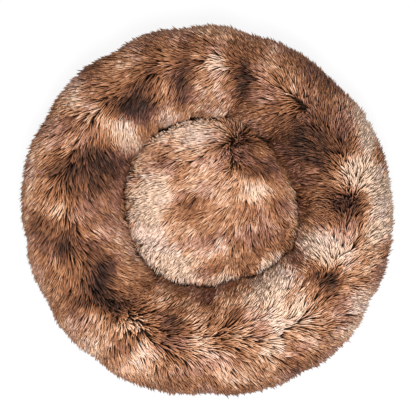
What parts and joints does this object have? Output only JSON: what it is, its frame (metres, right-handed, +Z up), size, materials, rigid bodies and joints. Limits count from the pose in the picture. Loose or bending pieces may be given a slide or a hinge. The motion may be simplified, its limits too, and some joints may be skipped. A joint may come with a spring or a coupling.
{
  "type": "round pet bed",
  "caption": "Round plush pet bed: a stuffed long-pile bolster ring on a flat base, with a loose round cushion lying in its well; both covers have a hidden zip.",
  "frame": {"origin": "on the floor under the middle of the round base", "axes": "+Z up, +X to the right and +Y towards the zip at the back, seen from above"},
  "size_m": [0.5906, 0.588, 0.1742],
  "materials": {
    "bolster_fur": "long variegated brown pile, combed in patches",
    "cushion_fur": "long variegated tan pile",
    "base_fabric": "tight plain weave with small grip dots",
    "lining_fabric": "short matt knit",
    "inner_bag": "thin undyed non-woven",
    "fibre_filling": "loose white polyester fibre",
    "zip_tape": "narrow twill tape",
    "zip_coil": "moulded nylon coil",
    "zip_metal": "baked dark brown enamel, lightly worn"
  },
  "bodies": {
    "bed": {"base_panel": "base_fabric", "base_band": "base_fabric", "well_floor": "lining_fabric", "bolster_cover": "bolster_fur", "bolster_liner": "inner_bag", "bolster_filling": "fibre_filling", "base_zip_tape_upper": "zip_tape", "base_zip_tape_lower": "zip_tape", "base_zip_coil_upper": "zip_coil", "base_zip_coil_lower": "zip_coil"},
    "base_zip_slider": {"base_zip_slider": "zip_metal"},
    "base_zip_pull": {"base_zip_pull": "zip_metal"},
    "cushion": {"cushion_cover_top": "cushion_fur", "cushion_cover_base": "lining_fabric", "cushion_liner": "inner_bag", "cushion_filling": "fibre_filling", "cushion_zip_tape_upper": "zip_tape", "cushion_zip_tape_lower": "zip_tape", "cushion_zip_coil_upper": "zip_coil", "cushion_zip_coil_lower": "zip_coil"},
    "cushion_zip_slider": {"cushion_zip_slider": "zip_metal"},
    "cushion_zip_pull": {"cushion_zip_pull": "zip_metal"}
  },
  "joints": [
    {"name": "base_zip_slide", "type": "hinge", "parent": "bed", "child": "base_zip_slider", "pos_m": [0, 0, 0.024], "axis": [0, 0, -1], "range_deg": [0, 83.5]},
    {"name": "base_zip_pull_swing", "type": "hinge", "parent": "base_zip_slider", "child": "base_zip_pull", "pos_m": [-0.19468, 0.20622, 0.024], "axis": [0, 0, 1], "range_deg": [0, 130]},
    {"name": "cushion_lift", "type": "slide", "parent": "bed", "child": "cushion", "axis": [0, 0, 1], "range_m": [0, 0.2]},
    {"name": "cushion_zip_slide", "type": "hinge", "parent": "cushion", "child": "cushion_zip_slider", "pos_m": [0.005, 0.01, 0.04], "axis": [0, 0, -1], "range_deg": [0, 66.5]},
    {"name": "cushion_zip_pull_swing", "type": "hinge", "parent": "cushion_zip_slider", "child": "cushion_zip_pull", "pos_m": [-0.07341, 0.11644, 0.04], "axis": [0, 0, 1], "range_deg": [0, 18]}
  ]
}
